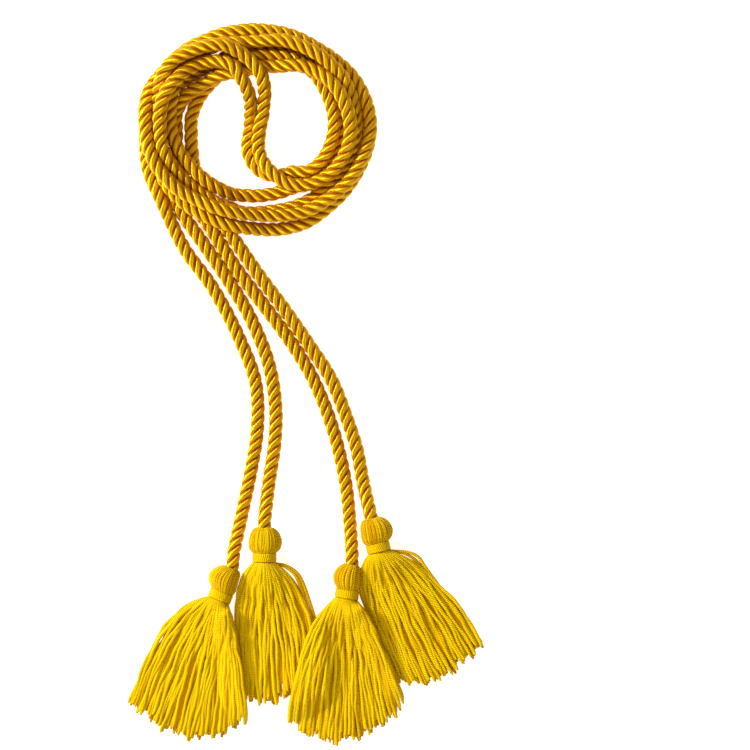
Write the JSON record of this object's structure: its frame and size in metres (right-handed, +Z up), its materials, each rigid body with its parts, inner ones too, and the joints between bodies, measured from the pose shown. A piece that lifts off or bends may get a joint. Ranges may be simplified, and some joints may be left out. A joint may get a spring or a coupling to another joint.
{
  "type": "double honor cord",
  "caption": "Long twisted gold ropes worn round the neck with a gown, laid side by side in one loose coil, each rope end finished with a tied, fanned tassel.",
  "frame": {"origin": "on the surface that the cord lies on, under the middle of its whole outline", "axes": "+Z up from the surface, +Y from the tassels towards the coil, +X to the right seen from above"},
  "size_m": [0.2124, 0.4257, 0.0269],
  "materials": {
    "rope_gold": "satin twisted rayon",
    "tassel_yellow": "soft twisted yarn",
    "binding_yellow": "satin wound thread"
  },
  "bodies": {
    "root": {"rope_a": "rope_gold", "rope_b": "rope_gold", "tassel_1": "tassel_yellow", "tassel_2": "tassel_yellow", "tassel_3": "tassel_yellow", "tassel_4": "tassel_yellow", "binding_1": "binding_yellow", "binding_2": "binding_yellow", "binding_3": "binding_yellow", "binding_4": "binding_yellow"}
  },
  "joints": []
}
